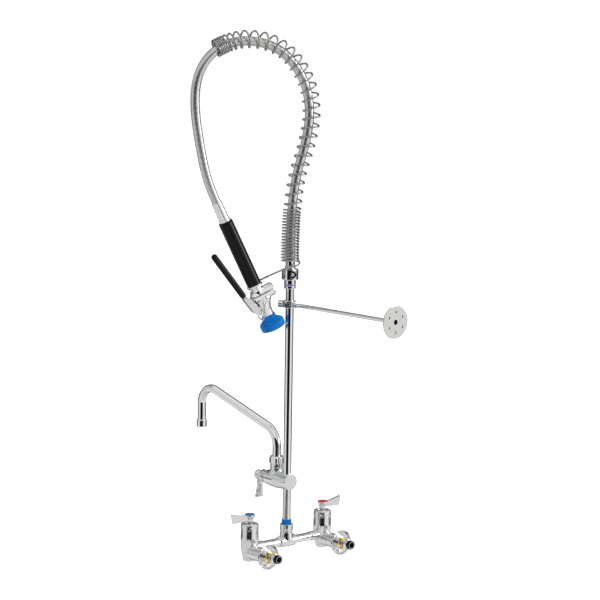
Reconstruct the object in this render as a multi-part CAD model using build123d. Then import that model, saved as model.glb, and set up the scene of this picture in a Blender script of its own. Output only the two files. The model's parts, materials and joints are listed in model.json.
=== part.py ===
"""Pre-rinse faucet for a commercial kitchen, backsplash mounted, with an add-on swing spout.

Frame: +Z up, +Y towards the wall, +X on the cold side.  The origin is on the wall plane, midway
between the two inlet axes.  Every length is in millimetres.
"""

import math
import os

from build123d import *

os.makedirs("parts", exist_ok=True)

# ---------------------------------------------------------------- driving dimensions
INLET_CENTRES = 203.2  # 8 inch centres between the inlets
STAND_OFF = 62.0  # valve and riser axes in front of the wall plane
RUN_FIT = 0.05  # radial clearance of a shaft that turns or slides
GAP = 0.3  # clearance between pieces that move apart

RISER_R = 8.55  # 3/8 inch pipe
RISER_BORE_R = 6.2
BRIDGE_Z = 8.0
TEE_TOP_Z = 44.5
ADDON_Z = 135.0
CLAMP_Z = 510.4
UNION_Z = 543.0

BARREL_R = 18.6
BARREL_TOP_Z = 46.5
BONNET_TOP_Z = 60.5
HANDLE_TOP_Z = 80.0
HANDLE_REACH = 51.0

SPOUT_OFFSET = 34.0  # spout swivel axis in front of the riser
SPOUT_REACH = 248.0
SPOUT_R = 8.9
SPOUT_SLOPE = 16.7  # degrees above horizontal
SPOUT_CORNER_Z = 235.0
SPOUT_OUTLET_Z = 208.5

BRACKET_REACH = 316.6  # riser axis to the face of the wall disc
ROD_R = 4.0
DISC_R = 33.0
DISC_PCD = 41.0
ROD_END = BRACKET_REACH - 8.5  # the rod stops inside the disc's hub

ARC_TURN = 67.3  # degrees the hose arch is swung from straight ahead towards the cold side
HOSE_R = 9.5
SPRING_R = 19.0
SPRING_WIRE_R = 1.9

SPRAY_TILT = 25.9  # degrees between the spray valve's axis and vertical
SPRAY_U = 78.0  # lower end of the grip, out from the riser
SPRAY_Z = 553.5
GRIP_R = 15.0
GRIP_LENGTH = 147.0

# The hose's centre line in the plane of the arch: distance out from the riser, then height.
HOSE_ROUTE = [
    (0, 606),
    (3, 734),
    (-39, 874),
    (-35, 948),
    (-9, 1001),
    (31, 1039),
    (84, 1054.5),
    (138, 1051),
    (181, 1024.5),
    (206.5, 979),
    (210, 918),
    (197, 836),
    (180, 763.7),
    (161.5, 725.6),
]

# The spring guard's centre line, in the same plane.  The hose lies inside its bent coils.
SPRING_ROUTE = [
    (0, 599),
    (3, 735),
    (-43.5, 873),
    (-39.5, 950),
    (-12.5, 1005),
    (29, 1043.5),
    (83, 1059),
    (137, 1053.5),
    (168.5, 1036.5),
]

# ---------------------------------------------------------------- frames
out_dir = Vector(math.sin(math.radians(ARC_TURN)), -math.cos(math.radians(ARC_TURN)), 0)
side_dir = out_dir.cross(Vector(0, 0, 1))
arch_plane = Plane(origin=(0, -STAND_OFF, 0), x_dir=out_dir, z_dir=side_dir)
riser_plane = Plane(origin=(0, -STAND_OFF, 0))
front_plane = Plane(origin=(0, -STAND_OFF, ADDON_Z), x_dir=(1, 0, 0), z_dir=(0, -1, 0))
rear_plane = Plane(origin=(0, -STAND_OFF, CLAMP_Z), x_dir=(1, 0, 0), z_dir=(0, 1, 0))


def arch_point(u, z, w=0.0):
    """A point u out from the riser, z up, and w off the plane of the arch."""
    return arch_plane.from_local_coords(Vector(u, z, w))


tilt = math.radians(SPRAY_TILT)
spray_down = -(out_dir * math.sin(tilt)) - Vector(0, 0, math.cos(tilt))
spray_out = out_dir * math.cos(tilt) - Vector(0, 0, math.sin(tilt))
spray_plane = Plane(
    origin=arch_point(SPRAY_U, SPRAY_Z), x_dir=spray_out, z_dir=spray_down
)


def place(plane, shape):
    """The shape, built about the origin, carried into a plane's frame."""
    return plane.location * shape


def save(name, *solids):
    """Write the node: one solid, or a group of identical ones."""
    shape = solids[0] if len(solids) == 1 else Compound(children=list(solids))
    export_step(shape, f"parts/{name}.step")


def turned(*points):
    """A solid of revolution about Z from (radius, height, optional corner radius) points."""
    corners = [(p[0], 0, p[1]) for p in points]
    radii = [p[2] if len(p) > 2 else 0 for p in points]
    if any(radii):
        outline = FilletPolyline(*corners, radius=radii, close=True)
    else:
        outline = Polyline(*corners, close=True)
    return revolve(make_face(outline), Axis.Z)


def ring(outer, inner, low, high):
    """A plain ring about Z."""
    return turned((inner, low), (outer, low), (outer, high), (inner, high))


def soft_ring(outer, inner, low, high, soft):
    """A ring about Z with its outer edges rounded."""
    return turned((inner, low), (outer, low, soft), (outer, high, soft), (inner, high))


def rod(radius, low, high):
    """A cylinder about Z between two heights."""
    return Pos(0, 0, low) * Cylinder(
        radius, high - low, align=(Align.CENTER, Align.CENTER, Align.MIN)
    )


def hex_ring(across_flats, bore_r, low, high):
    """A chamfered hexagon nut about Z."""
    body = extrude(
        RegularPolygon(across_flats / 2, 6, major_radius=False), high - low
    )
    rounded = turned(
        (0, 0), (across_flats / 2, 0), (across_flats * 0.577, 1.2),
        (across_flats * 0.577, high - low - 1.2), (across_flats / 2, high - low),
        (0, high - low),
    )
    return Pos(0, 0, low) * ((body & rounded) - rod(bore_r, -1, high - low + 1))


def route_path(points, share=0.45):
    """Straight runs joined by tangent arcs, each as large as its two runs allow."""
    corners = [arch_point(u, z) for u, z in points]
    radii = []
    for before, here, after in zip(corners, corners[1:], corners[2:]):
        arrive = here - before
        leave = after - here
        half_turn = math.radians(arrive.get_angle(leave)) / 2
        radii.append(share * min(arrive.length, leave.length) / math.tan(half_turn))
    return Wire(FilletPolyline(*corners, radius=radii).edges()), radii


def tube_along(path, outer, inner=0.0):
    """A round bar or tube swept along a path."""
    section = Plane(origin=path @ 0, z_dir=path % 0) * Circle(outer)
    if inner:
        section -= Plane(origin=path @ 0, z_dir=path % 0) * Circle(inner)
    return sweep(section, path=path)


# ---------------------------------------------------------------- base: tee, bridge, valves
TEE_R = 12.2
TEE_HALF = 20.0
TEE_SOCKET_Z = 30.0
BRIDGE_R = 8.6
BRIDGE_BORE_R = 6.0
BOSS_REACH = 26.0  # bridge boss, out from the valve's axis
NUT_REACH = 35.0
NECK_R = 15.0
NECK_END = STAND_OFF - 3.0  # inlet neck, back from the valve's axis
NIPPLE_R = 10.65  # the free end that takes the supply union
SHANK_R = 10.4  # the stretch that is screwed into the valve and the nuts
NIPPLE_BORE_R = 6.5
NIPPLE_SEAT = STAND_OFF - 20.0
VALVE_X = INLET_CENTRES / 2


def centre_tee():
    run = Rot(0, 90, 0) * rod(TEE_R, -TEE_HALF, TEE_HALF)
    upright = turned(
        (0, 0), (TEE_R, 0), (15.4, 3.5, 3), (12.7, 18.5, 6), (12.7, 22.5),
        (13.9, 23.5, 0.6), (13.9, TEE_TOP_Z - BRIDGE_Z, 1.2), (0, TEE_TOP_Z - BRIDGE_Z),
    )
    tee = run + upright
    tee -= Rot(0, 90, 0) * rod(BRIDGE_BORE_R, -TEE_HALF - 1, TEE_HALF + 1)
    tee -= rod(RISER_BORE_R, 0, TEE_TOP_Z)
    tee -= rod(RISER_R, TEE_SOCKET_Z - BRIDGE_Z, TEE_TOP_Z)
    return Pos(0, -STAND_OFF, BRIDGE_Z) * tee


def bridge_tube(side):
    tube = ring(BRIDGE_R, BRIDGE_BORE_R, TEE_HALF, VALVE_X - BOSS_REACH)
    return Pos(0, -STAND_OFF, BRIDGE_Z) * (Rot(0, 90 * side, 0) * tube)


def bridge_nut(side):
    nut = soft_ring(10.4, BRIDGE_R, VALVE_X - NUT_REACH, VALVE_X - BOSS_REACH, 1.0)
    return Pos(0, -STAND_OFF, BRIDGE_Z) * (Rot(0, 90 * side, 0) * nut)


def valve_body(side):
    shell = turned(
        (0, -19.0), (12.8, -19.0, 1.5), (17.2, 4.0, 50), (19.0, 27.0, 60),
        (BARREL_R - 0.3, BARREL_TOP_Z, 0.6), (0, BARREL_TOP_Z),
    )
    boss = Pos(0, 0, BRIDGE_Z) * (Rot(0, -90 * side, 0) * rod(9.6, 0, BOSS_REACH))
    neck = Rot(-90, 0, 0) * rod(NECK_R, 0, NECK_END)
    body = shell + boss + neck
    blend = body.edges().filter_by(lambda e: e.length > 40 and abs(e.center().Y - 14) < 7)
    if blend:
        try:
            body = fillet(blend, 2.0)
        except Exception:
            body = shell + boss + neck
    body -= rod(13.0, -4.0, BARREL_TOP_Z + 1)
    body -= Pos(0, 0, BRIDGE_Z) * (Rot(0, -90 * side, 0) * rod(6.0, 0, BOSS_REACH + 1))
    body -= Rot(-90, 0, 0) * rod(8.0, 0, NECK_END + 1)
    body -= Rot(-90, 0, 0) * rod(SHANK_R, NIPPLE_SEAT, NECK_END + 1)
    return Pos(side * VALVE_X, -STAND_OFF, 0) * body


STEM_R = 4.0
SPLINE_R = 3.0


def cartridge():
    """The valve cartridge that fills the barrel, up to its bonnet."""
    return turned(
        (STEM_R + RUN_FIT, -3.5), (12.9, -3.5), (12.9, BARREL_TOP_Z - 0.5),
        (9.0, BARREL_TOP_Z - 0.5), (9.0, BONNET_TOP_Z - 5.5), (STEM_R + RUN_FIT, BONNET_TOP_Z - 5.5),
    )


def bonnet_nut():
    return turned(
        (9.2, BARREL_TOP_Z), (BARREL_R, BARREL_TOP_Z, 0.5), (BARREL_R, BONNET_TOP_Z - 2.5, 1.0),
        (16.8, BONNET_TOP_Z, 0.6), (11.5, BONNET_TOP_Z, 0.8), (10.5, BONNET_TOP_Z - 5.0),
        (9.2, BONNET_TOP_Z - 5.0),
    )


def stem():
    """The stem, from the cartridge's foot up into the handle's hub."""
    return rod(STEM_R, 8.0, HANDLE_TOP_Z - 12.0) + rod(
        SPLINE_R, HANDLE_TOP_Z - 12.0, HANDLE_TOP_Z - 6.0
    )


def handle(hub_height):
    """A lever handle about Z, with its blade towards +X."""
    top = HANDLE_TOP_Z - 1.6
    foot = HANDLE_TOP_Z - hub_height
    root = HANDLE_TOP_Z - 14.5
    hub = turned(
        (0, foot), (6.2, foot, 0.8), (7.2, root + 3.5, 2), (10.6, top - 2.5, 2), (10.6, top, 0.6),
        (0, top),
    )
    outline = FilletPolyline(
        (4, 0, root + 2.0), (14, 0, root + 0.2), (46, 0, root - 1.0),
        (HANDLE_REACH, 0, HANDLE_TOP_Z + 5.5), (24, 0, top + 1.0), (4, 0, top - 1.0),
        radius=[0, 20, 2.0, 2.0, 30, 0], close=True,
    )
    blade = extrude(make_face(outline), 2.6, both=True)
    lever = hub + blade
    lever -= rod(SPLINE_R, foot - 1, HANDLE_TOP_Z - 6.0)
    lever -= rod(STEM_R, foot - 1, HANDLE_TOP_Z - 12.0)
    lever -= rod(2.0, HANDLE_TOP_Z - 6.0, top + 1)
    lever -= rod(5.4, HANDLE_TOP_Z - 3.6, HANDLE_TOP_Z + 8)
    lever -= ring(10.6, 5.0, top, HANDLE_TOP_Z + 8)
    return lever


def index_ring():
    """The coloured ring let into the top of the handle."""
    return soft_ring(10.0, 5.4, HANDLE_TOP_Z - 1.6, HANDLE_TOP_Z, 0.5)


def handle_screw():
    head = turned(
        (0, HANDLE_TOP_Z - 3.6), (5.2, HANDLE_TOP_Z - 3.6), (5.2, HANDLE_TOP_Z - 1.0, 0.5),
        (0, HANDLE_TOP_Z + 0.4),
    )
    slot = Pos(0, 0, HANDLE_TOP_Z) * Box(12, 1.2, 2.0)
    return head + rod(2.0, HANDLE_TOP_Z - 6.0, HANDLE_TOP_Z - 3.6) - slot


save("center_tee", centre_tee())
save("bridge_tubes", bridge_tube(1), bridge_tube(-1))
save("bridge_nuts", bridge_nut(1), bridge_nut(-1))
save("bonnet_nuts", *[Pos(s * VALVE_X, -STAND_OFF, 0) * bonnet_nut() for s in (1, -1)])
for name, side in (("cold", 1), ("hot", -1)):
    seat = Pos(side * VALVE_X, -STAND_OFF, 0) * Rot(0, 0, 0 if side > 0 else 180)
    save(f"{name}_valve_body", valve_body(side))
    save(f"{name}_stem", seat * stem())
    save(f"{name}_handle", seat * handle(18.4))
    save(f"{name}_index_ring", seat * index_ring())
    save(f"{name}_handle_screw", seat * handle_screw())


# ---------------------------------------------------------------- inlets
def inlet(shape):
    """Both copies of an inlet piece built about Z, where Z runs into the wall."""
    return [
        Plane(origin=(s * VALVE_X, 0, 0), x_dir=(1, 0, 0), z_dir=(0, 1, 0)).location * shape
        for s in (1, -1)
    ]


escutcheon = turned(
    (NECK_R + 0.1, -12.0), (17.0, -12.0, 0.8), (25.3, -6.5, 5), (27.0, 0.0), (25.5, 0.0),
    (23.7, -5.6, 5), (16.4, -10.3), (NECK_R + 0.1, -10.3),
)
coupling_nut = soft_ring(12.6, SHANK_R, -3.0, 1.6, 0.8)
lock_nut = hex_ring(24.0, SHANK_R, 2.0, 8.0)
nipple = turned(
    (NIPPLE_BORE_R, -20.0), (SHANK_R, -20.0), (SHANK_R, 8.6), (NIPPLE_R, 8.6),
    (NIPPLE_R, 24.0, 0.8), (7.6, 24.0),
    (7.6, 31.0), (NIPPLE_BORE_R, 31.0),
)
inlet_washer = turned((7.6, 24.3), (9.6, 24.3, 0.4), (9.6, 31.5, 1.2), (7.6, 31.5))
save("escutcheons", *inlet(escutcheon))
save("inlet_coupling_rings", *inlet(coupling_nut))
save("inlet_lock_nuts", *inlet(lock_nut))
save("inlet_nipples", *inlet(nipple))
save("inlet_washers", *inlet(inlet_washer))

# ---------------------------------------------------------------- riser
save("riser_seal_sleeve", place(riser_plane, soft_ring(10.4, RISER_R, TEE_TOP_Z, 54.6, 0.8)))
save("riser_nipple", place(riser_plane, ring(RISER_R, RISER_BORE_R, TEE_SOCKET_Z, 126.0)))
save("riser_tube", place(riser_plane, ring(RISER_R, RISER_BORE_R, 144.0, UNION_Z + 6.3)))

# ---------------------------------------------------------------- add-on faucet body
ADDON_R = 17.3
ADDON_BACK = -12.0  # blind end, behind the riser's axis
ADDON_SHOULDER = 66.0
HANDLE_SHIFT = ADDON_SHOULDER - BARREL_TOP_Z  # the handle set of the valves, moved forward
BOSS_R = 13.2
BOSS_TOP = 34.5  # above the body's axis
SWIVEL_BORE_R = 10.5


def addon_body():
    """The horizontal casting on the riser, about its own axis, local Z pointing forward."""
    barrel = turned(
        (0, ADDON_BACK), (ADDON_R, ADDON_BACK, 0.8), (17.1, 6.0, 60), (18.6, 28.0, 40),
        (16.0, ADDON_SHOULDER - 8.0, 10), (13.8, ADDON_SHOULDER, 0.8), (0, ADDON_SHOULDER),
    )
    boss = Pos(0, 0, SPOUT_OFFSET) * (Rot(-90, 0, 0) * rod(BOSS_R, 0, BOSS_TOP))
    saddle = Pos(0, 0, SPOUT_OFFSET) * (
        Rot(-90, 0, 0) * turned((0, 8.0), (17.0, 8.0), (BOSS_R, 21.5, 10), (BOSS_R, 25.0), (0, 25.0))
    )
    body = barrel + boss + saddle
    body -= rod(10.9, 46.0, ADDON_SHOULDER + 1)
    body -= rod(7.0, -4.0, 47.0)
    across = Rot(-90, 0, 0)
    body -= across * rod(RISER_BORE_R, -ADDON_R - 5, ADDON_R + 5)
    body -= across * rod(RISER_R, -ADDON_R - 5, 126.0 - ADDON_Z)
    body -= across * rod(RISER_R, 144.0 - ADDON_Z, ADDON_R + 5)
    body -= Pos(0, 0, SPOUT_OFFSET) * (across * rod(SWIVEL_BORE_R, 16.0, BOSS_TOP + 1))
    body -= Pos(0, 0, SPOUT_OFFSET) * (across * rod(6.0, 0.0, 17.0))
    return body


addon_bonnet = turned(
    (9.2, ADDON_SHOULDER), (14.6, ADDON_SHOULDER, 0.6), (14.6, ADDON_SHOULDER + 8.0, 1.5),
    (11.6, ADDON_SHOULDER + 10.5, 0.8), (9.2, ADDON_SHOULDER + 10.5),
)
addon_cartridge = turned(
    (STEM_R + RUN_FIT, 46.2), (10.8, 46.2), (10.8, ADDON_SHOULDER - 0.5),
    (9.0, ADDON_SHOULDER - 0.5), (9.0, ADDON_SHOULDER + 10.0),
    (STEM_R + RUN_FIT, ADDON_SHOULDER + 10.0),
)
addon_seat = Plane(
    origin=(0, -STAND_OFF - HANDLE_SHIFT + 5.5, ADDON_Z), x_dir=(0, 0, -1), z_dir=(0, -1, 0)
)
addon_stem = rod(STEM_R, 28.0, HANDLE_TOP_Z - 12.0) + rod(
    SPLINE_R, HANDLE_TOP_Z - 12.0, HANDLE_TOP_Z - 6.0
)
save("addon_body", place(front_plane, addon_body()))
save("addon_bonnet", place(front_plane, addon_bonnet))
save(
    "valve_cartridges",
    *[Pos(s * VALVE_X, -STAND_OFF, 0) * cartridge() for s in (1, -1)],
    place(front_plane, addon_cartridge),
)
save("addon_stem", place(addon_seat, addon_stem))
save("addon_handle", place(addon_seat, handle(16.4)))
save("addon_index_ring", place(addon_seat, index_ring()))
save("addon_handle_screw", place(addon_seat, handle_screw()))

# ---------------------------------------------------------------- swing spout
SPOUT_BORE_R = 7.5
SPOUT_FOOT_Z = ADDON_Z + 17.0
SPOUT_NUT_Z = ADDON_Z + BOSS_TOP
SPOUT_NUT_TOP_Z = 184.5
spout_axis = Plane(origin=(0, -STAND_OFF - SPOUT_OFFSET, 0))
spout_nut = turned(
    (SPOUT_R + RUN_FIT, SPOUT_NUT_Z + 3.0), (SWIVEL_BORE_R, SPOUT_NUT_Z + 3.0),
    (SWIVEL_BORE_R, SPOUT_NUT_Z), (15.6, SPOUT_NUT_Z, 0.8), (15.6, SPOUT_NUT_TOP_Z - 3.5, 1.2),
    (13.4, SPOUT_NUT_TOP_Z, 0.8), (SPOUT_R + RUN_FIT, SPOUT_NUT_TOP_Z),
)
spout_nut &= Pos(0, 0, SPOUT_NUT_Z) * extrude(
    RegularPolygon(15.0, 8, major_radius=False), SPOUT_NUT_TOP_Z - SPOUT_NUT_Z
)
far_corner_z = SPOUT_CORNER_Z + SPOUT_REACH * math.tan(math.radians(SPOUT_SLOPE))
spout_line = Wire(
    FilletPolyline(
        (0, 0, SPOUT_FOOT_Z), (0, 0, SPOUT_CORNER_Z), (0, -SPOUT_REACH, far_corner_z),
        (0, -SPOUT_REACH, SPOUT_OUTLET_Z + 4.0), radius=[42.0, 35.0],
    ).edges()
)
spout_tube = tube_along(spout_line, SPOUT_R, SPOUT_BORE_R)
spout_tube += ring(10.1, SPOUT_R - 0.2, ADDON_Z + 29.0, ADDON_Z + 34.0)
spout_outlet = Pos(0, -SPOUT_REACH, 0) * turned(
    (4.5, SPOUT_OUTLET_Z), (9.6, SPOUT_OUTLET_Z, 0.4), (11.1, SPOUT_OUTLET_Z + 1.6, 0.8),
    (11.1, SPOUT_OUTLET_Z + 15.0, 0.8), (9.6, SPOUT_OUTLET_Z + 16.7, 0.4),
    (SPOUT_R, SPOUT_OUTLET_Z + 16.7), (SPOUT_R, SPOUT_OUTLET_Z + 4.0),
    (4.5, SPOUT_OUTLET_Z + 4.0),
)
save("spout_nut", place(spout_axis, spout_nut))
save("spout_tube", place(spout_axis, spout_tube))
save("spout_outlet", place(spout_axis, spout_outlet))

# ---------------------------------------------------------------- wall bracket
CLAMP_R = 13.2
CLAMP_HALF = 7.2
DISC_THICK = 3.0
thumb_angle = math.radians(38.0)
thumb_plane = Plane(
    origin=(0, -STAND_OFF, CLAMP_Z), z_dir=(math.sin(thumb_angle), -math.cos(thumb_angle), 0)
)
pinch_angle = math.radians(30.0)
pinch_plane = Plane(
    origin=(0, -STAND_OFF, CLAMP_Z), z_dir=(math.cos(pinch_angle), math.sin(pinch_angle), 0)
)
clamp = Pos(0, -STAND_OFF, CLAMP_Z) * turned(
    (0, -CLAMP_HALF), (CLAMP_R, -CLAMP_HALF, 1.2), (CLAMP_R, CLAMP_HALF, 1.2), (0, CLAMP_HALF)
)
clamp += place(rear_plane, rod(6.6, 0, 20.0))
clamp += place(pinch_plane, rod(5.8, 0, 14.6))
clamp -= place(riser_plane, rod(RISER_R, CLAMP_Z - 9, CLAMP_Z + 9))
clamp -= place(rear_plane, rod(ROD_R, 12.0, 21.0))
clamp -= place(thumb_plane, rod(3.0, 0, 20.0))
clamp -= place(pinch_plane, ring(4.3, 2.5, 11.2, 16.0))
clamp -= place(pinch_plane, rod(1.2, 12.6, 16.0))
thumb_screw = turned(
    (0, 8.6), (3.0, 8.6), (3.0, 13.6), (7.4, 13.6, 0.6), (7.4, 15.8), (5.6, 15.8), (5.6, 16.8),
    (7.4, 16.8), (7.4, 23.2, 0.8), (6.4, 24.2, 0.4), (0, 24.2),
)
disc = turned(
    (4.9, BRACKET_REACH), (4.9, ROD_END), (ROD_R, ROD_END),
    (ROD_R, BRACKET_REACH - 15.0), (8.0, BRACKET_REACH - 15.0, 1.0),
    (8.6, BRACKET_REACH - DISC_THICK, 0.4), (DISC_R, BRACKET_REACH - DISC_THICK, 0.8),
    (DISC_R, BRACKET_REACH, 0.8),
)
for index in range(6):
    angle = math.radians(30 + 60 * index)
    disc -= Pos(DISC_PCD / 2 * math.cos(angle), DISC_PCD / 2 * math.sin(angle), 0) * rod(
        2.3, BRACKET_REACH - 5.0, BRACKET_REACH + 1.0
    )
save("bracket_clamp", clamp)
save("bracket_thumb_screw", place(thumb_plane, thumb_screw))
save("bracket_jam_nut", place(rear_plane, hex_ring(11.0, ROD_R, 20.0, 25.0)))
save("bracket_rod", place(rear_plane, rod(ROD_R, 12.0, ROD_END)))
save("wall_disc", place(rear_plane, disc))

# ---------------------------------------------------------------- union at the top of the riser
UNION_R = 12.1
UNION_NUT_Z = UNION_Z + 8.3
HUB_Z = UNION_NUT_Z + 10.4 + GAP
HUB_TOP_Z = HUB_Z + 22.0
HUB_R = 17.4
SPIGOT_R = 7.0
save(
    "union_ring", place(riser_plane, soft_ring(UNION_R, RISER_R, UNION_Z, UNION_Z + 6.3, 1.0))
)
save(
    "union_washer",
    place(riser_plane, ring(12.3, SPIGOT_R + RUN_FIT, UNION_Z + 6.3, UNION_NUT_Z)),
)
save(
    "union_nut",
    place(
        riser_plane,
        soft_ring(UNION_R, SPIGOT_R + RUN_FIT, UNION_NUT_Z, UNION_NUT_Z + 10.4, 1.0),
    ),
)

# ---------------------------------------------------------------- hub, hose and spring guard
FERRULE_TOP_Z = HOSE_ROUTE[0][1] - 0.3
hub_body = turned(
    (4.0, UNION_NUT_Z + 1.0), (SPIGOT_R, UNION_NUT_Z + 1.0), (SPIGOT_R, HUB_Z),
    (HUB_R, HUB_Z, 1.0), (HUB_R, HUB_TOP_Z, 1.0), (11.0, HUB_TOP_Z), (11.0, HUB_TOP_Z + 6.0, 0.8),
    (4.0, HUB_TOP_Z + 6.0),
)
screw_plane = Plane(origin=arch_point(0, HUB_Z + 11.5), z_dir=-side_dir)
hub_body = place(riser_plane, hub_body)
hub_body -= place(screw_plane, rod(8.0, 14.4, 20.0))
hub_body -= place(screw_plane, rod(4.0, 9.0, 20.0))
set_screw = turned((0, 9.0), (4.0, 9.0), (4.0, 17.0, 0.8), (0, 17.0))
set_screw -= Pos(0, 0, 14.0) * extrude(RegularPolygon(1.9, 6), 6.0)
screw_seal = turned(
    (4.1, 14.4), (7.6, 14.4), (7.6, 17.6, 0.8), (6.2, 18.4, 0.6), (4.9, 17.8, 0.4), (4.1, 16.2)
)
lower_ferrule = turned(
    (4.0, HUB_TOP_Z + 6.0), (9.8, HUB_TOP_Z + 6.0, 0.6), (9.8, FERRULE_TOP_Z, 0.6),
    (4.0, FERRULE_TOP_Z),
)
save("hub_body", hub_body)
save("hub_set_screw", place(screw_plane, set_screw))
save("hub_screw_seal", place(screw_plane, screw_seal))
save("hose_lower_ferrule", place(riser_plane, lower_ferrule))

hose_path, hose_radii = route_path(HOSE_ROUTE)
hose = tube_along(hose_path, HOSE_R)
print("hose radii", [round(r) for r in hose_radii])
print("hose length", round(hose_path.length, 1))
print("hose volume", round(hose.volume), round(math.pi * HOSE_R**2 * hose_path.length))
save("hose", hose)

spring_path, spring_radii = route_path(SPRING_ROUTE)
guard = tube_along(spring_path, SPRING_R, SPRING_R - 2 * SPRING_WIRE_R)
print("spring radii", [round(r) for r in spring_radii])
save("spring", guard)

# The hook is the tail of the spring's wire: round the foot, then out behind the grip.
HOOK_WIRE_R = 2.1
HOOK_ROUTE = [
    (-17.1, 596.6, 3.0),
    (-17.3, 594.6, -17.5),
    (24.0, 584.6, -17.5),
    (78.3, 550.6, 24.0),
    (81.8, 544.6, 27.5),
]
hook_line = Wire(
    FilletPolyline(*[arch_point(u, z, w) for u, z, w in HOOK_ROUTE], radius=[10.0, 20.0, 5.0])
    .edges()
)
save("spring_hook", tube_along(hook_line, HOOK_WIRE_R))

# ---------------------------------------------------------------- spray valve, about its own axis
VALVE_BORE_R = 5.0
GRIP_BORE_R = 7.0
CHAMBER_Z = 25.0  # the valve chamber's axis crosses the spray axis here
CHAMBER_R = 14.2
CHAMBER_END = -24.0
PLUNGER_R = 3.0
PIVOT_X = 17.0
PIVOT_Z = 57.0
PIN_R = 2.0
EAR_INNER = 4.6
EAR_OUTER = 8.0
CHEEK_INNER = 8.35
CHEEK_OUTER = 9.85
BAIL_X = 1.0
BAIL_Z = 40.0
BAIL_HALF = 17.2
BAIL_LENGTH = 36.5
BAIL_WIRE_R = 1.3
across_x = Rot(0, 90, 0)
across_y = Rot(-90, 0, 0)

hose_ferrule = turned(
    (VALVE_BORE_R, -191.0), (10.1, -191.0, 0.5), (10.1, -187.5, 0.5), (10.9, -186.5, 0.5),
    (10.9, -182.0, 0.4), (10.3, -181.4, 0.4), (10.3, -175.0, 0.4), (10.9, -174.4, 0.4),
    (10.9, -153.0, 0.4), (11.9, -152.0, 0.4), (11.9, -GRIP_LENGTH, 0.4),
    (GRIP_BORE_R - RUN_FIT, -GRIP_LENGTH), (GRIP_BORE_R - RUN_FIT, -GRIP_LENGTH + 16.0, 0.6),
    (VALVE_BORE_R, -GRIP_LENGTH + 16.0),
)
grip = turned(
    (GRIP_BORE_R, -GRIP_LENGTH + GAP), (14.2, -GRIP_LENGTH + GAP, 1.2),
    (GRIP_R, -GRIP_LENGTH + 4.0, 2), (GRIP_R, -1.5, 1), (14.2, 0), (GRIP_BORE_R, 0),
)
grip_collar = turned(
    (GRIP_BORE_R, 0.0), (15.5, 0.0, 0.4), (16.8, 1.4, 0.8), (16.8, 4.6, 0.8),
    (14.5, 6.0, 0.4), (GRIP_BORE_R, 6.0),
)


# Sections of the casting below the chamber: height, shift along X, half widths along X and Y.
NECK_SECTIONS = [
    (24.0, -5.0, 18.6, 13.9),
    (33.0, -4.9, 18.5, 13.8),
    (40.0, -4.2, 17.2, 13.7),
    (48.0, -1.9, 14.5, 13.5),
    (58.0, -0.5, 12.8, 13.1),
    (66.0, -0.1, 12.6, 12.8),
    (72.0, 0.0, 12.5, 12.5),
]


def spray_body():
    shank = turned((0, 6.0), (12.4, 6.0, 0.6), (12.4, 14.0, 6), (14.0, 22.0), (0, 22.0))
    neck = loft(
        [Pos(shift, 0, z) * Ellipse(wide, deep) for z, shift, wide, deep in NECK_SECTIONS]
    )
    chamber = Pos(0, 0, CHAMBER_Z) * (across_x * rod(CHAMBER_R, CHAMBER_END, 14.0))
    gland = Pos(0, 0, CHAMBER_Z) * (
        across_x * turned((0, 10.0), (7.9, 10.0), (7.9, 16.6, 1.6), (5.6, 19.0, 1.6), (0, 19.0))
    )
    body = shank + neck + chamber + gland
    for side in (1, -1):
        ear = FilletPolyline(
            (6, 0, PIVOT_Z - 14), (PIVOT_X + 1, 0, PIVOT_Z - 6), (PIVOT_X + 4.4, 0, PIVOT_Z),
            (PIVOT_X + 1, 0, PIVOT_Z + 4.4), (6, 0, PIVOT_Z + 8),
            radius=[0, 3, 3, 3, 0], close=True,
        )
        middle = side * (EAR_INNER + EAR_OUTER) / 2
        body += Pos(0, middle, 0) * extrude(
            make_face(ear), (EAR_OUTER - EAR_INNER) / 2, both=True
        )
    body += Pos(BAIL_X, 0, BAIL_Z) * (across_y * rod(3.4, -15.2, 15.2))
    body -= rod(VALVE_BORE_R, 5.0, 73.0)
    body -= Pos(0, 0, CHAMBER_Z) * (across_x * rod(9.0, CHAMBER_END - 1, -6.0))
    body -= Pos(0, 0, CHAMBER_Z) * (across_x * rod(PLUNGER_R + RUN_FIT, -7.0, 20.0))
    body -= Pos(PIVOT_X, 0, PIVOT_Z) * (across_y * rod(PIN_R, -10, 10))
    body -= Pos(BAIL_X, 0, BAIL_Z) * (across_y * rod(BAIL_WIRE_R + RUN_FIT, 11.0, 16.0))
    body -= Pos(BAIL_X, 0, BAIL_Z) * (across_y * rod(BAIL_WIRE_R + RUN_FIT, -16.0, -11.0))
    return body


spray_bonnet = Pos(0, 0, CHAMBER_Z) * (
    Rot(0, -90, 0)
    * turned(
        (0, 21.3), (8.9, 21.3), (8.9, 24.0), (13.9, 24.0, 0.6), (13.9, 31.0, 1.2),
        (12.4, 33.4, 1.0), (0, 34.0),
    )
)
plunger = Pos(0, 0, CHAMBER_Z) * (
    across_x
    * turned(
        (0, -13.0), (8.4, -13.0, 0.4), (8.4, -10.6, 0.4), (PLUNGER_R, -9.8), (PLUNGER_R, 21.7),
        (2.0, 23.9), (0, 23.9),
    )
)
plunger_spring = Pos(CHAMBER_END + 3.2, 0, CHAMBER_Z) * (
    across_x
    * sweep(
        Plane(origin=(6.0, 0, 0), z_dir=(0, 1, 0)) * Circle(0.45),
        path=Helix(pitch=1.1, height=2.2, radius=6.0),
        is_frenet=True,
    )
)


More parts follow.
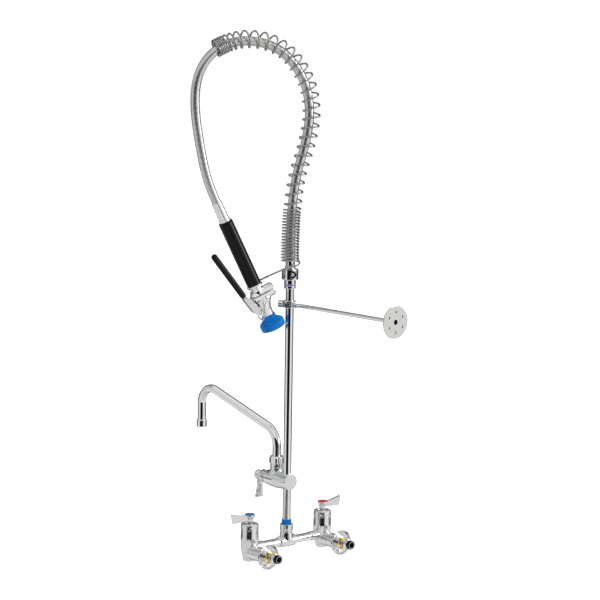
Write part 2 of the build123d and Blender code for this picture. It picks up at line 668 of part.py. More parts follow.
def lever():
    """A bent strip from the pivot up past the plunger, ending in the rod that the sleeve covers.

    A web along its outer edge carries a cheek on each side, outside the ears of the body.
    """
    outline = FilletPolyline(
        (PIVOT_X - 3.2, 0, PIVOT_Z + 3.0), (PIVOT_X + 4.5, 0, PIVOT_Z + 2.6),
        (PIVOT_X + 9.5, 0, PIVOT_Z - 14.0), (33.4, 0, 19.5), (34.4, 0, 14.6), (27.6, 0, 13.1),
        (26.0, 0, 20.0), (24.0, 0, CHAMBER_Z + 3.0), (PIVOT_X + 2.6, 0, PIVOT_Z - 12.0),
        (PIVOT_X - 3.2, 0, PIVOT_Z - 4.0),
        radius=[2, 2.5, 12, 8, 0, 0, 8, 8, 6, 2], close=True,
    )
    strip = extrude(make_face(outline), EAR_INNER - 0.35, both=True)
    strip += sleeve_place * rod(SLEEVE_BORE_R, 0.0, SLEEVE_LENGTH - 12.0)
    web = Polyline(
        (34.6, 0, 14.6), (34.4, 0, 21.0), (27.3, 0, 51.5), (25.6, 0, 51.1), (32.6, 0, 20.8),
        (32.6, 0, 16.4), (26.0, 0, 16.4), (26.4, 0, 14.6), close=True,
    )
    strip += extrude(make_face(web), CHEEK_OUTER, both=True)
    cheek = FilletPolyline(
        (26.4, 0, 14.6), (34.6, 0, 14.6), (34.4, 0, 21.0), (27.3, 0, 51.5), (23.0, 0, 58.5),
        (17.5, 0, 62.0), (12.8, 0, 59.5), (12.8, 0, 46.0), (17.6, 0, 36.5), (19.7, 0, 25.0),
        radius=[0, 0, 6, 3, 4, 3, 2, 8, 20, 4], close=True,
    )
    for side in (1, -1):
        middle = side * (CHEEK_INNER + CHEEK_OUTER) / 2
        strip += Pos(0, middle, 0) * extrude(
            make_face(cheek), (CHEEK_OUTER - CHEEK_INNER) / 2, both=True
        )
    strip -= Pos(PIVOT_X, 0, PIVOT_Z) * (across_y * rod(PIN_R + RUN_FIT, -11, 11))
    return strip


SLEEVE_R = 6.6
SLEEVE_BORE_R = 3.6
SLEEVE_LENGTH = 112.0
SLEEVE_LEAN = 11.5
sleeve_place = Pos(30.9, 0, 13.0) * Rot(0, 180 - SLEEVE_LEAN, 0)
lever_sleeve = sleeve_place * turned(
    (SLEEVE_BORE_R, 0), (5.9, 0, 0.6), (SLEEVE_R, 5.0, 3), (SLEEVE_R, SLEEVE_LENGTH, SLEEVE_R - 0.2),
    (0, SLEEVE_LENGTH), (0, SLEEVE_LENGTH - 12.0), (SLEEVE_BORE_R, SLEEVE_LENGTH - 12.0),
)
lever_pin = Pos(PIVOT_X, 0, PIVOT_Z) * (across_y * rod(PIN_R, -10.4, 10.4))

hang = math.radians(SPRAY_TILT)
bail_x = BAIL_X + BAIL_LENGTH * math.sin(hang)
bail_z = BAIL_Z + BAIL_LENGTH * math.cos(hang)
bail_line = Wire(
    FilletPolyline(
        (BAIL_X, -11.5, BAIL_Z), (BAIL_X, -BAIL_HALF, BAIL_Z), (bail_x, -BAIL_HALF, bail_z),
        (bail_x, BAIL_HALF, bail_z), (BAIL_X, BAIL_HALF, BAIL_Z), (BAIL_X, 11.5, BAIL_Z),
        radius=[1.9, 6.0, 6.0, 1.9],
    ).edges()
)
bail = tube_along(bail_line, BAIL_WIRE_R)

FACE_Z = 97.0
spray_face = turned(
    (VALVE_BORE_R, 72.0), (12.4, 72.0), (12.4, 86.0), (21.8, 92.5), (21.8, FACE_Z, 0.6),
    (0, FACE_Z), (0, FACE_Z - 3.0), (18.0, FACE_Z - 3.0), (VALVE_BORE_R + 3.0, 86.0),
    (VALVE_BORE_R, 80.0),
)
for count, radius in ((1, 0.0), (6, 6.5), (10, 12.5), (14, 17.0)):
    for index in range(count):
        angle = 2 * math.pi * index / count
        spray_face -= Pos(radius * math.cos(angle), radius * math.sin(angle), 0) * rod(
            0.9, FACE_Z - 4.0, FACE_Z + 1.0
        )
bumper = turned(
    (13.1, 70.5), (14.0, 70.5, 0.3), (15.2, 78.6, 2), (24.6, 86.0, 1.5), (26.1, 88.6, 1),
    (26.1, 98.4, 0.8), (25.2, 101.0, 0.5), (22.0, 101.0), (22.0, 92.5), (13.1, 86.0),
)

for name, shape in (
    ("hose_ferrule", hose_ferrule),
    ("grip", grip),
    ("grip_collar", grip_collar),
    ("spray_body", spray_body()),
    ("spray_bonnet", spray_bonnet),
    ("spray_plunger", plunger),
    ("plunger_spring", plunger_spring),
    ("spray_lever", lever()),
    ("lever_sleeve", lever_sleeve),
    ("lever_pin", lever_pin),
    ("bail", bail),
    ("spray_face", spray_face),
    ("bumper", bumper),
):
    save(name, place(spray_plane, shape))
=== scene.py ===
"""Looks of the wall-mounted pre-rinse faucet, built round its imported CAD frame.

Metres, +Z up, +Y towards the wall, +X on the cold side.  The arch of the hose lies in a vertical
plane through the riser, so its points are given as (out from the riser, height).
"""

import json
import math

import bpy
from mathutils import Matrix, Vector


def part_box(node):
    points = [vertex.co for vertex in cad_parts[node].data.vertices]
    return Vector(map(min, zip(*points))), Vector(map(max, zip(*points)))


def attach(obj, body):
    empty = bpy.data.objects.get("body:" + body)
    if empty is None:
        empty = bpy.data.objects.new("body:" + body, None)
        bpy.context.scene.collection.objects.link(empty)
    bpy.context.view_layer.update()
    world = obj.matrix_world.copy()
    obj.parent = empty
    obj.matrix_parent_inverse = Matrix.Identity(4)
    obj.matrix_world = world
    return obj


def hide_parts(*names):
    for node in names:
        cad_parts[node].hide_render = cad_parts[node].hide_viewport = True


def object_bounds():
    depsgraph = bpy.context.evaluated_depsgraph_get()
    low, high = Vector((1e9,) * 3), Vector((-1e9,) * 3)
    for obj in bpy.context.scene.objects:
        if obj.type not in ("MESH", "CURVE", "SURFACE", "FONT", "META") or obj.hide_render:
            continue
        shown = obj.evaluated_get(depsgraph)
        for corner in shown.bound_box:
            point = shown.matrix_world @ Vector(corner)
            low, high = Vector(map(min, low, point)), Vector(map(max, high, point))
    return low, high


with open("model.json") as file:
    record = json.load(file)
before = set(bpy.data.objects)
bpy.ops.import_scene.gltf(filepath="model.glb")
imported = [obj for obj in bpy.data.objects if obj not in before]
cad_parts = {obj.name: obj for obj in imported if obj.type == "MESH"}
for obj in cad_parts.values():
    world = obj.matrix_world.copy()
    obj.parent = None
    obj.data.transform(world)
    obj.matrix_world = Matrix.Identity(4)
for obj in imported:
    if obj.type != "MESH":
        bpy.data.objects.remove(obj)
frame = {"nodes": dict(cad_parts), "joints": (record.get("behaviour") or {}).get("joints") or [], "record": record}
cad_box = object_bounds()

# ---------------------------------------------------------------- places, from the frame
UP = Vector((0, 0, 1))
joints = {j["name"]: j for j in frame["joints"]}
riser = Vector(joints["arch_swivel"]["pos_m"])
riser.z = 0
grip_end = Vector(joints["spray_swivel"]["pos_m"])
out_dir = (grip_end - riser).to_2d().normalized().to_3d()
side_dir = out_dir.cross(UP)


def arch_point(u, z, w=0.0):
    """A point u out from the riser, z up, and w off the plane of the arch."""
    return riser + out_dir * u + side_dir * w + UP * z


# The hose's route, the same points as the CAD tube's.
HOSE_ROUTE = [
    (0, 0.606),
    (0.003, 0.734),
    (-0.039, 0.874),
    (-0.035, 0.948),
    (-0.009, 1.001),
    (0.031, 1.039),
    (0.084, 1.0545),
    (0.138, 1.051),
    (0.181, 1.0245),
    (0.2065, 0.979),
    (0.210, 0.918),
    (0.197, 0.836),
    (0.180, 0.7637),
    (0.1615, 0.7256),
]
HOSE_R = 0.0095
CORD_STEPS = 400
ARMOUR_PITCH = 0.0025
ARMOUR_SIDES = 32
ARMOUR_STEPS = 7  # rings of points in one turn of the armour's strip
GROOVE_DEPTH = 0.00016
GROOVE_START = 0.62  # where the groove starts, from 0 at the strip's middle to 1 at its edge
GROOVE_POWER = 0.7  # the lower, the squarer the groove

# The spring guard's centre line, and how its coils are spaced from the foot to the free end.
SPRING_ROUTE = [
    (0, 0.599),
    (0.003, 0.735),
    (-0.0435, 0.873),
    (-0.0395, 0.950),
    (-0.0125, 1.005),
    (0.029, 1.0435),
    (0.083, 1.059),
    (0.137, 1.0535),
    (0.1685, 1.0365),
]
COIL_R = 0.0171
WIRE_R = 0.0019
CLOSED_PITCH = 0.0061
OPEN_PITCH = 0.0200
TIGHT_PITCH = 0.0042
CLOSED_RUN = 0.104  # closed coils at the foot
OPENING_RUN = 0.020
TIGHTENING_RUN = 0.056  # where the coils draw together before the free end
TIGHTENING_POWER = 0.8
TIGHT_RUN = 0.019
COIL_STEPS = 30  # points in one turn
COIL_START = 0.02  # in turns
COIL_LOOK = 0.008  # how far to each side the centre line's direction is averaged
WIRE_END = 0.8  # the wire's end, as a share of its radius


# ---------------------------------------------------------------- meshes
LINE_STEPS = 24
SHARP_EDGE = math.radians(40)


def new_object(name, data):
    """A mesh, curve, camera or light, put in the scene."""
    made = bpy.data.objects.new(name, data)
    bpy.context.scene.collection.objects.link(made)
    return made


def skin(name, rings):
    """A closed tube through rings of points, with a cap at each end."""
    sides = len(rings[0])
    points = [p for ring in rings for p in ring]
    faces = []
    for i in range(len(rings) - 1):
        for j in range(sides):
            a, b = i * sides + j, i * sides + (j + 1) % sides
            faces.append((a, b, b + sides, a + sides))
    for ring, start, turn in ((rings[0], 0, -1), (rings[-1], len(points) - sides, 1)):
        points.append(sum(ring, Vector()) / sides)
        middle = len(points) - 1
        for j in range(sides):
            corner = (start + j, start + (j + 1) % sides, middle)
            faces.append(corner[::turn])
    mesh = bpy.data.meshes.new(name)
    mesh.from_pydata(points, [], faces)
    mesh.update()
    mesh.shade_smooth()
    mesh.set_sharp_from_angle(angle=SHARP_EDGE)
    return new_object(name, mesh)


def nurbs_line(points):
    """Closely spaced points on the smooth curve that has these as its control points."""
    curve = bpy.data.curves.new("line", "CURVE")
    curve.dimensions = "3D"
    spline = curve.splines.new("NURBS")
    spline.points.add(len(points) - 1)
    for place, point in zip(spline.points, points):
        place.co = (*point, 1)
    spline.order_u = 3
    spline.use_endpoint_u = True
    spline.resolution_u = LINE_STEPS
    holder = new_object("line", curve)
    line = bpy.data.meshes.new_from_object(holder)
    found = [v.co.copy() for v in line.vertices]
    bpy.data.objects.remove(holder)
    bpy.data.curves.remove(curve)
    bpy.data.meshes.remove(line)
    return found


class Path:
    """A line of points that is read by distance along it."""

    def __init__(self, points):
        self.points = points
        self.reach = [0.0]
        for a, b in zip(points, points[1:]):
            self.reach.append(self.reach[-1] + (b - a).length)
        self.length = self.reach[-1]
        self.last = 0

    def at(self, s):
        """The point at distance s, which is best asked for in rising order."""
        if s < self.reach[self.last]:
            self.last = 0
        while self.last < len(self.points) - 2 and self.reach[self.last + 1] < s:
            self.last += 1
        a, b = self.points[self.last], self.points[self.last + 1]
        share = (s - self.reach[self.last]) / (self.reach[self.last + 1] - self.reach[self.last])
        return a.lerp(b, share)

    def along(self, s, step=0.002):
        """The direction of travel at distance s."""
        low = max(0.0, s - step)
        high = min(self.length, s + step)
        return (self.at(high) - self.at(low)).normalized()


def wire(name, points, radius, sides=12):
    """A round wire along a line of points, without twist, and a little thinner at its ends."""
    turns = [2 * math.pi * j / sides for j in range(sides)]
    rings = []
    normal = None
    for i, point in enumerate(points):
        ahead = points[min(i + 1, len(points) - 1)] - points[max(i - 1, 0)]
        ahead.normalize()
        if normal is None:
            normal = ahead.orthogonal()
        normal = (normal - ahead * normal.dot(ahead)).normalized()
        across = ahead.cross(normal)
        share = WIRE_END if i in (0, len(points) - 1) else 1.0
        rings.append(
            [point + (normal * math.cos(t) + across * math.sin(t)) * radius * share for t in turns]
        )
    return skin(name, rings)


# ---------------------------------------------------------------- the hose in its armour
def groove_at(turn):
    """From 0 on the strip's flat back to 1 in the groove between two turns of it."""
    edge = abs((turn % 1.0) - 0.5) * 2
    return max(0.0, (edge - GROOVE_START) / (1 - GROOVE_START)) ** GROOVE_POWER


def make_hose():
    path = Path(nurbs_line([arch_point(u, z) for u, z in HOSE_ROUTE]))
    count = round(path.length / ARMOUR_PITCH * ARMOUR_STEPS)
    rings, depths = [], []
    for i in range(count + 1):
        s = path.length * i / count
        middle, ahead = path.at(s), path.along(s)
        outward = ahead.cross(side_dir)
        ring = []
        for j in range(ARMOUR_SIDES):
            share = j / ARMOUR_SIDES
            angle = 2 * math.pi * share
            depth = groove_at(s / ARMOUR_PITCH - share)
            ring.append(
                middle
                + (outward * math.cos(angle) + side_dir * math.sin(angle))
                * (HOSE_R - GROOVE_DEPTH * depth)
            )
            depths.append(depth)
        rings.append(ring)
    hose = skin("hose_armour", rings)
    groove = hose.data.attributes.new("groove", "FLOAT", "POINT")
    groove.data.foreach_set("value", depths + [0.0, 0.0])  # the last two are the caps' middles
    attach(hose, "arch")
    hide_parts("hose")
    [path.at(path.length * i / CORD_STEPS) for i in range(CORD_STEPS + 1)]
    return hose


# ---------------------------------------------------------------- the spring guard and its hook
def coil_pitch(s, length):
    """The distance between turns at distance s from the foot."""
    if s < CLOSED_RUN:
        return CLOSED_PITCH
    if s < CLOSED_RUN + OPENING_RUN:
        return CLOSED_PITCH + (OPEN_PITCH - CLOSED_PITCH) * (s - CLOSED_RUN) / OPENING_RUN
    left = length - s
    if left < TIGHT_RUN:
        return TIGHT_PITCH
    share = min(1.0, (left - TIGHT_RUN) / TIGHTENING_RUN)
    return TIGHT_PITCH + (OPEN_PITCH - TIGHT_PITCH) * share**TIGHTENING_POWER


def coil_points():
    """The middle of the wire, from the foot of the spring to its free end."""
    path = Path(nurbs_line([arch_point(u, z) for u, z in SPRING_ROUTE]))
    s, turn = 0.0, COIL_START
    found = []
    while s < path.length - WIRE_R:
        outward = path.along(s, COIL_LOOK).cross(side_dir)
        angle = 2 * math.pi * turn
        found.append(
            path.at(s) + (side_dir * math.sin(angle) - outward * math.cos(angle)) * COIL_R
        )
        s += coil_pitch(s, path.length) / COIL_STEPS
        turn += 1 / COIL_STEPS
    return found


# The wire's tail: round the front of the hub, then out to the hook behind the grip.
HOOK_ROUTE = [
    (-0.0171, 0.6012, 0.0030),
    (-0.0176, 0.5985, -0.0080),
    (-0.0150, 0.5945, -0.0175),
    (0.0040, 0.5895, -0.0175),
    (0.0240, 0.5846, -0.0175),
    (0.0512, 0.5676, 0.0032),
    (0.0730, 0.5540, 0.0200),
    (0.0783, 0.5506, 0.0240),
    (0.0818, 0.5446, 0.0275),
]


def make_spring():
    tail = nurbs_line([arch_point(u, z, w) for u, z, w in HOOK_ROUTE])
    spring = wire("spring_wire", list(reversed(tail))[:-1] + coil_points(), WIRE_R)
    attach(spring, "arch")
    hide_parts("spring", "spring_hook")
    return spring


# ---------------------------------------------------------------- materials
class Nodes:
    """A short way to build a node tree."""

    def __init__(self, tree):
        self.tree = tree

    def add(self, kind, **settings):
        node = self.tree.nodes.new(kind)
        for key, value in settings.items():
            setattr(node, key, value)
        return node

    def link(self, output, target):
        self.tree.links.new(output, target)


def new_material(name, colour, metallic, roughness, **sockets):
    """A Principled material, its nodes and shader, and the object's own coordinates."""
    material = bpy.data.materials.new(name)
    material.use_nodes = True
    tree = material.node_tree
    tree.nodes.clear()
    nodes = Nodes(tree)
    output = nodes.add("ShaderNodeOutputMaterial")
    shader = nodes.add("ShaderNodeBsdfPrincipled")
    shader.inputs["Base Color"].default_value = (*colour, 1)
    shader.inputs["Metallic"].default_value = metallic
    shader.inputs["Roughness"].default_value = roughness
    for key, value in sockets.items():
        shader.inputs[key.replace("_", " ")].default_value = value
    nodes.link(shader.outputs["BSDF"], output.inputs["Surface"])
    where = nodes.add("ShaderNodeTexCoord")
    return material, nodes, shader, where.outputs["Object"]


def noise(nodes, where, scale, detail=3.0, stretch=(1, 1, 1)):
    """A noise value, in grains 1 / scale metres across."""
    mapping = nodes.add("ShaderNodeMapping")
    mapping.inputs["Scale"].default_value = [scale * s for s in stretch]
    nodes.link(where, mapping.inputs["Vector"])
    grain = nodes.add("ShaderNodeTexNoise")
    grain.inputs["Scale"].default_value = 1.0
    grain.inputs["Detail"].default_value = detail
    nodes.link(mapping.outputs["Vector"], grain.inputs["Vector"])
    return grain.outputs["Fac"]


def ramp(nodes, value, low, high, at=(0.3, 0.7)):
    """A colour that goes from low to high as the value goes between two marks."""
    made = nodes.add("ShaderNodeValToRGB")
    made.color_ramp.elements[0].position = at[0]
    made.color_ramp.elements[1].position = at[1]
    made.color_ramp.elements[0].color = (*low, 1)
    made.color_ramp.elements[1].color = (*high, 1)
    nodes.link(value, made.inputs["Fac"])
    return made.outputs["Color"]


def spread(nodes, value, low, high):
    """The value's middle range carried onto low to high."""
    made = nodes.add("ShaderNodeMapRange")
    made.inputs["From Min"].default_value = 0.3
    made.inputs["From Max"].default_value = 0.7
    made.inputs["To Min"].default_value = low
    made.inputs["To Max"].default_value = high
    nodes.link(value, made.inputs["Value"])
    return made.outputs["Result"]


def bump(nodes, shader, value, strength, depth):
    """Raises the surface by the value, up to depth metres."""
    made = nodes.add("ShaderNodeBump")
    made.inputs["Strength"].default_value = strength
    made.inputs["Distance"].default_value = depth
    nodes.link(value, made.inputs["Height"])
    nodes.link(made.outputs["Normal"], shader.inputs["Normal"])


def shade(colour, factor):
    """The colour made darker or lighter."""
    return tuple(min(1.0, c * factor) for c in colour)


def metal(name, colour, rough, grain, wave, stretch=(1, 1, 1)):
    """Plated or polished metal: rough = (least, most), grain = grains per metre, wave in metres."""
    material, nodes, shader, where = new_material(name, colour, 1.0, rough[0])
    fine = noise(nodes, where, grain, 4.0, stretch)
    nodes.link(ramp(nodes, fine, shade(colour, 0.93), colour), shader.inputs["Base Color"])
    nodes.link(spread(nodes, fine, *rough), shader.inputs["Roughness"])
    broad = noise(nodes, where, grain * 0.12, 2.0)
    bump(nodes, shader, broad, 0.6, wave)
    return material


def plastic(name, colour, rough, grain, depth, cloudy=(0.86, 1.1), **sockets):
    """Moulded plastic or rubber with a fine grain and, over that, clouds in its colour."""
    material, nodes, shader, where = new_material(name, colour, 0.0, rough[0], **sockets)
    fine = noise(nodes, where, grain, 3.0)
    cloud = noise(nodes, where, grain * 0.03, 2.0)
    low, high = (shade(colour, factor) for factor in cloudy)
    nodes.link(ramp(nodes, cloud, low, high), shader.inputs["Base Color"])
    nodes.link(spread(nodes, fine, *rough), shader.inputs["Roughness"])
    bump(nodes, shader, fine, 0.5, depth)
    return material


def armour():
    """Stainless strip, with painted shade in the grooves between its turns."""
    material, nodes, shader, where = new_material("hose_armour", (0.78, 0.78, 0.76), 1.0, 0.16)
    groove = nodes.add("ShaderNodeAttribute", attribute_name="groove")
    # Painted shade: the base colour goes near-black where the groove attribute is deep.
    nodes.link(
        ramp(nodes, groove.outputs["Fac"], (0.74, 0.73, 0.71), (0.12, 0.115, 0.11), (0.25, 0.95)),
        shader.inputs["Base Color"],
    )
    fine = noise(nodes, where, 900.0)
    nodes.link(spread(nodes, fine, 0.08, 0.16), shader.inputs["Roughness"])
    return material


STEEL = (0.82, 0.815, 0.80)
STEEL_ROUGH = (0.13, 0.22)
STEEL_GRAIN = 1500

# By the record's material slots.
MATERIALS = {
    "chrome_cast": metal("chrome_cast", (0.80, 0.81, 0.82), (0.09, 0.17), 700, 0.0011),
    "chrome_tube": metal("chrome_tube", (0.87, 0.88, 0.89), (0.03, 0.06), 500, 0.00003),
    "spring_wire": metal("spring_wire", (0.44, 0.44, 0.44), (0.03, 0.07), 1200, 0.00003),
    "steel": metal("steel", STEEL, STEEL_ROUGH, STEEL_GRAIN, 0.00005),
    "hose_armour": armour(),
    "brass": metal("brass", (0.82, 0.53, 0.12), (0.22, 0.34), 1200, 0.00006),
    "blue_plastic": plastic(
        "blue_plastic", (0.0, 0.145, 0.48), (0.30, 0.42), 1500, 0.00004, (0.62, 1.30),
        Specular_IOR_Level=0.12,
    ),
    "red_plastic": plastic(
        "red_plastic", (0.62, 0.02, 0.02), (0.28, 0.42), 1500, 0.00004, Specular_IOR_Level=0.3
    ),
    "violet_fibre": plastic("violet_fibre", (0.20, 0.15, 0.50), (0.5, 0.65), 1800, 0.00005),
    "black_rubber": plastic(
        "black_rubber", (0.0025, 0.0025, 0.003), (0.13, 0.20), 900, 0.00002, Specular_IOR_Level=0.2
    ),
    "black_plastic": plastic(
        "black_plastic", (0.004, 0.004, 0.0045), (0.18, 0.26), 1200, 0.00002, Specular_IOR_Level=0.2
    ),
}


def dress(piece, slot):
    """Gives a piece its slot's material."""
    piece.data.materials.clear()
    piece.data.materials.append(MATERIALS[slot])


DISC_HOLES = 6
DISC_FIRST_HOLE = math.radians(30)
DISC_PCD = 0.041  # the diameter that the holes' middles lie on
DISC_RECESS_R = 0.0049
DISC_HOLE_R = 0.0023
DISC_MARGIN = 0.0002  # how far past a hole's edge the painted shade reaches
# Painted shade: a near-black base colour laid inside the recess and the screw holes, where shade falls.
DISC_PAINTED_SHADE = (0.02, 0.02, 0.02)


def disc_with_painted_shade():
    """The wall disc's steel, with painted shade inside its recess and its screw holes."""
    material, nodes, shader, where = new_material("disc_steel_painted_shade", STEEL, 1.0, STEEL_ROUGH[0])
    low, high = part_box("wall_disc")
    middle = (Vector(low) + Vector(high)) / 2
    angles = [DISC_FIRST_HOLE + 2 * math.pi * i / DISC_HOLES for i in range(DISC_HOLES)]
    rim = [Vector((math.cos(a), 0, math.sin(a))) * (DISC_PCD / 2) for a in angles]
    flat = nodes.add("ShaderNodeVectorMath", operation="MULTIPLY")
    flat.inputs[1].default_value = (1, 0, 1)
    nodes.link(where, flat.inputs[0])
    # The mask of the recess and the holes, where the painted shade goes.
    painted_shade_mask = None
    for spot, radius in [(Vector(), DISC_RECESS_R)] + [(spot, DISC_HOLE_R) for spot in rim]:
        away = nodes.add("ShaderNodeVectorMath", operation="DISTANCE")
        away.inputs[1].default_value = (middle.x + spot.x, 0, middle.z + spot.z)
        nodes.link(flat.outputs[0], away.inputs[0])
        near = nodes.add("ShaderNodeMath", operation="LESS_THAN")
        near.inputs[1].default_value = radius + DISC_MARGIN
        nodes.link(away.outputs["Value"], near.inputs[0])
        if painted_shade_mask is None:
            painted_shade_mask = near
            continue
        most = nodes.add("ShaderNodeMath", operation="MAXIMUM")
        nodes.link(painted_shade_mask.outputs[0], most.inputs[0])
        nodes.link(near.outputs[0], most.inputs[1])
        painted_shade_mask = most
    fine = noise(nodes, where, STEEL_GRAIN, 4.0)
    mix = nodes.add("ShaderNodeMix", data_type="RGBA")
    nodes.link(painted_shade_mask.outputs[0], mix.inputs["Factor"])
    nodes.link(ramp(nodes, fine, shade(STEEL, 0.93), STEEL), mix.inputs[6])
    mix.inputs[7].default_value = (*DISC_PAINTED_SHADE, 1)
    nodes.link(mix.outputs[2], shader.inputs["Base Color"])
    nodes.link(spread(nodes, fine, *STEEL_ROUGH), shader.inputs["Roughness"])
    return material


def satin_chrome(name):
    """The spray valve's castings are duller than the others."""
    return metal(name, (0.92, 0.92, 0.92), (0.13, 0.20), 900, 0.0006, (1, 1, 6))


dress(make_hose(), "hose_armour")
dress(make_spring(), "spring_wire")
for part in frame["record"]["subparts"]:
    dress(frame["nodes"][part["node"]], part["material_slot"])
# The wall disc gets steel with painted shade in its recess and holes.
frame["nodes"]["wall_disc"].data.materials[0] = disc_with_painted_shade()
for name in ("spray_body", "spray_bonnet"):
    frame["nodes"][name].data.materials[0] = satin_chrome(name + "_chrome")

# ---------------------------------------------------------------- studio
AIM = Vector((0, 0, 0.5259))
AZIMUTH = math.radians(137.85)
ELEVATION = math.radians(7.99)
ROLL = math.radians(0.91)
DISTANCE = 5.060
LENS = 147.75
SENSOR = 36.0
LOOK_LEFT = 0.0201  # how far to the left of the aim point the camera looks, so that it frames all


def make_camera():
    """The photograph's camera.  Gives the direction from the object back to it."""
    back = Vector(
        (
            math.sin(AZIMUTH) * math.cos(ELEVATION),
            -math.cos(AZIMUTH) * math.cos(ELEVATION),
            math.sin(ELEVATION),
        )
    )
    level = Vector((math.cos(AZIMUTH), math.sin(AZIMUTH), 0))
    upward = back.cross(level)
    right = level * math.cos(ROLL) + upward * math.sin(ROLL)
    place = AIM + back * DISTANCE
    look = (AIM - right * LOOK_LEFT - place).normalized()
    right = (right - look * right.dot(look)).normalized()
    top = right.cross(look)
    data = bpy.data.cameras.new("camera")
    data.sensor_width = SENSOR
    data.lens = LENS
    camera = new_object("camera", data)
    axes = Matrix((right, top, -look)).transposed()
    camera.matrix_world = Matrix.Translation(place) @ axes.to_4x4()
    bpy.context.scene.camera = camera
    return back


FLOOR_REACH = 12.0
FLOOR_DROP = 0.30  # the faucet hangs on a wall, clear of the floor


def make_floor():
    """A plain white floor that isn't seen in the chrome."""
    z = cad_box[0].z - FLOOR_DROP
    ways = ((-1, -1), (1, -1), (1, 1), (-1, 1))
    corners = [(x * FLOOR_REACH, y * FLOOR_REACH, z) for x, y in ways]
    mesh = bpy.data.meshes.new("floor")
    mesh.from_pydata(corners, [], [(0, 1, 2, 3)])
    floor = new_object("floor", mesh)
    material, nodes, shader, where = new_material(
        "floor", (0.95, 0.95, 0.95), 0.0, 0.9, Emission_Color=(1, 1, 1, 1), Emission_Strength=0.5
    )
    grain = noise(nodes, where, 40.0)
    nodes.link(
        ramp(nodes, grain, (0.94, 0.94, 0.94), (0.96, 0.96, 0.96)), shader.inputs["Base Color"]
    )
    floor.data.materials.append(material)
    floor.visible_glossy = False


def tone_ramp(nodes, value, marks):
    """A grey tone read off (position, tone) marks."""
    made = nodes.add("ShaderNodeValToRGB")
    elements = made.color_ramp.elements
    while len(elements) < len(marks):
        elements.new(0.5)
    for element, (position, tone) in zip(elements, marks):
        element.position = position
        element.color = (tone, tone, tone, 1)
    nodes.link(value, made.inputs["Fac"])
    return made.outputs["Color"]


# The studio seen from the object, as tones by direction.  The half ahead of it, towards the camera,
# has ROUND_TONES, from 0.5 square to the dark opening's middle to 1 at it, times HEIGHT_TONES, from
# 0 straight down to 1 straight up.  The half behind it has BEHIND_TONES, from 0 straight behind to
# 0.5 at the side, times REAR_TONES by height.  Both are times SIDE_TONES, from 0 at the left to 1
# at the right.
ROUND_TONES = [
    (0.0, 0.80), (0.40, 0.88), (0.50, 0.98), (0.70, 0.96), (0.875, 0.86), (0.895, 0.008),
]
HEIGHT_TONES = [
    (0.0, 0.60), (0.25, 0.90), (0.40, 1.0), (0.52, 1.0), (0.56, 0.42), (0.62, 0.95), (0.80, 0.98),
    (1.0, 0.75),
]
REAR_TONES = [
    (0.0, 0.60), (0.25, 1.05), (0.375, 0.98), (0.405, 0.15), (0.455, 0.15), (0.50, 0.92),
    (0.65, 0.75), (0.78, 0.42), (0.88, 0.48), (0.92, 1.05), (1.0, 0.90),
]
BEHIND_TONES = [(0.0, 0.20), (0.13, 0.28), (0.25, 1.0)]
SIDE_TONES = [(0.0, 0.78), (0.4, 0.92), (0.75, 1.0), (0.94, 0.97), (1.0, 0.80)]
DARK_HEIGHT = 2.0  # how many times wider than high the dark opening is
DARK_SILL = (-0.262, -0.246)  # the opening's lower edge fades in between these, 0 level, -1 down
DARK_SILL_NEARNESS = 0.72  # under the sill, the nearness to the opening's middle goes no higher
DARK_TURN = math.radians(4)  # how far its middle is to the left of the camera
HALF_EDGE = -0.16  # how far behind the object's side the half ahead fades out
BACKGROUND = 1.05
LAMP_AT = (84, 14)  # degrees to the right of the camera, and up
LAMP_SPREAD = (13, 4)  # degrees from its middle to where it ends, and to where it is full
LAMP_TONE = 9.0


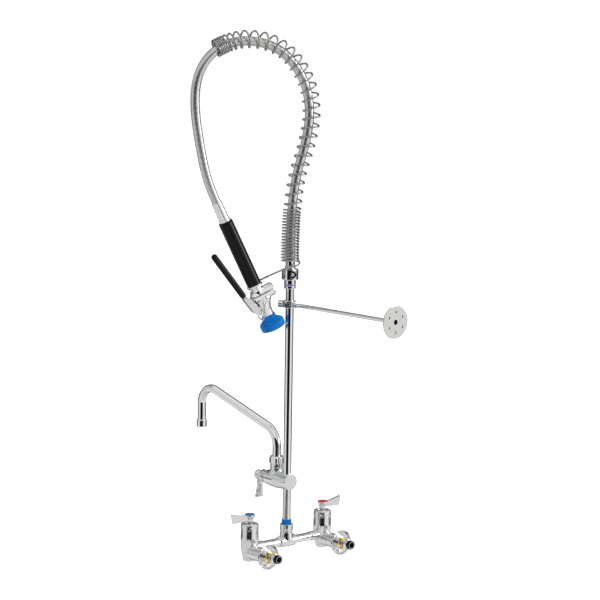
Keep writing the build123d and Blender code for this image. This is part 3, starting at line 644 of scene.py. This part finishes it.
def make_world(back):
    """A white studio with a dark opening where the photographer stands, and a lamp to the right."""
    world = bpy.data.worlds.new("studio")
    bpy.context.scene.world = world
    world.use_nodes = True
    tree = world.node_tree
    tree.nodes.clear()
    nodes = Nodes(tree)
    output = nodes.add("ShaderNodeOutputWorld")
    where = nodes.add("ShaderNodeTexCoord").outputs["Generated"]
    front = Vector((back.x, back.y, 0)).normalized()
    right = UP.cross(front)
    opening = front * math.cos(DARK_TURN) - right * math.sin(DARK_TURN)

    def along(vector, direction):
        facing = nodes.add("ShaderNodeVectorMath", operation="DOT_PRODUCT")
        facing.inputs[1].default_value = direction
        nodes.link(vector, facing.inputs[0])
        return facing.outputs["Value"]

    def tones(value, marks):
        share = nodes.add("ShaderNodeMapRange")
        share.inputs["From Min"].default_value = -1
        nodes.link(value, share.inputs["Value"])
        return tone_ramp(nodes, share.outputs["Result"], marks)

    def times(one, other):
        both = nodes.add("ShaderNodeVectorMath", operation="MULTIPLY")
        nodes.link(one, both.inputs[0])
        nodes.link(other, both.inputs[1])
        return both.outputs[0]

    flat = nodes.add("ShaderNodeVectorMath", operation="MULTIPLY")
    flat.inputs[1].default_value = (1, 1, DARK_HEIGHT)
    nodes.link(where, flat.inputs[0])
    unit = nodes.add("ShaderNodeVectorMath", operation="NORMALIZE")
    nodes.link(flat.outputs[0], unit.inputs[0])
    sill = nodes.add("ShaderNodeMapRange")
    sill.inputs["From Min"].default_value = DARK_SILL[0]
    sill.inputs["From Max"].default_value = DARK_SILL[1]
    sill.inputs["To Min"].default_value = DARK_SILL_NEARNESS
    nodes.link(along(where, UP), sill.inputs["Value"])
    nearness = nodes.add("ShaderNodeMath", operation="MINIMUM")
    nodes.link(along(unit.outputs[0], opening), nearness.inputs[0])
    nodes.link(sill.outputs["Result"], nearness.inputs[1])
    ahead = times(
        tones(nearness.outputs[0], ROUND_TONES),
        tones(along(where, UP), HEIGHT_TONES),
    )
    behind = times(
        tones(along(where, front), BEHIND_TONES),
        tones(along(where, UP), REAR_TONES),
    )
    half = nodes.add("ShaderNodeMapRange", interpolation_type="SMOOTHSTEP")
    half.inputs["From Min"].default_value = HALF_EDGE
    half.inputs["From Max"].default_value = 0.0
    nodes.link(along(unit.outputs[0], front), half.inputs["Value"])
    both_halves = nodes.add("ShaderNodeMix", data_type="VECTOR")
    nodes.link(half.outputs["Result"], both_halves.inputs["Factor"])
    nodes.link(behind, both_halves.inputs[4])
    nodes.link(ahead, both_halves.inputs[5])
    room = times(both_halves.outputs[1], tones(along(where, right), SIDE_TONES))
    around, above = (math.radians(angle) for angle in LAMP_AT)
    lamp_dir = (front * math.cos(around) + right * math.sin(around)) * math.cos(above)
    lamp = nodes.add("ShaderNodeMapRange", interpolation_type="SMOOTHSTEP")
    lamp.inputs["From Min"].default_value = math.cos(math.radians(LAMP_SPREAD[0]))
    lamp.inputs["From Max"].default_value = math.cos(math.radians(LAMP_SPREAD[1]))
    lamp.inputs["To Max"].default_value = LAMP_TONE
    nodes.link(along(where, lamp_dir + UP * math.sin(above)), lamp.inputs["Value"])
    lit_room = nodes.add("ShaderNodeVectorMath", operation="ADD")
    nodes.link(room, lit_room.inputs[0])
    nodes.link(lamp.outputs["Result"], lit_room.inputs[1])
    seen = nodes.add("ShaderNodeBackground")
    seen.inputs["Color"].default_value = (BACKGROUND, BACKGROUND, BACKGROUND, 1)
    lit = nodes.add("ShaderNodeBackground")
    nodes.link(lit_room.outputs[0], lit.inputs["Color"])
    ray = nodes.add("ShaderNodeLightPath")
    mix = nodes.add("ShaderNodeMixShader")
    nodes.link(ray.outputs["Is Camera Ray"], mix.inputs[0])
    nodes.link(lit.outputs["Background"], mix.inputs[1])
    nodes.link(seen.outputs["Background"], mix.inputs[2])
    nodes.link(mix.outputs[0], output.inputs["Surface"])


SOFTBOX_AT = (0.3, 0.3, 3.4)
SOFTBOX_SIZE = 3.0
SOFTBOX_WATTS = 60


def make_softbox():
    """A wide soft light overhead, which also whitens the floor."""
    data = bpy.data.lights.new("softbox", "AREA")
    data.shape = "DISK"
    data.size = SOFTBOX_SIZE
    data.energy = SOFTBOX_WATTS
    light = new_object("softbox", data)
    light.location = SOFTBOX_AT
    light.visible_glossy = False


back_dir = make_camera()
make_floor()
make_world(back_dir)
make_softbox()
bpy.context.scene.view_settings.view_transform = "Standard"
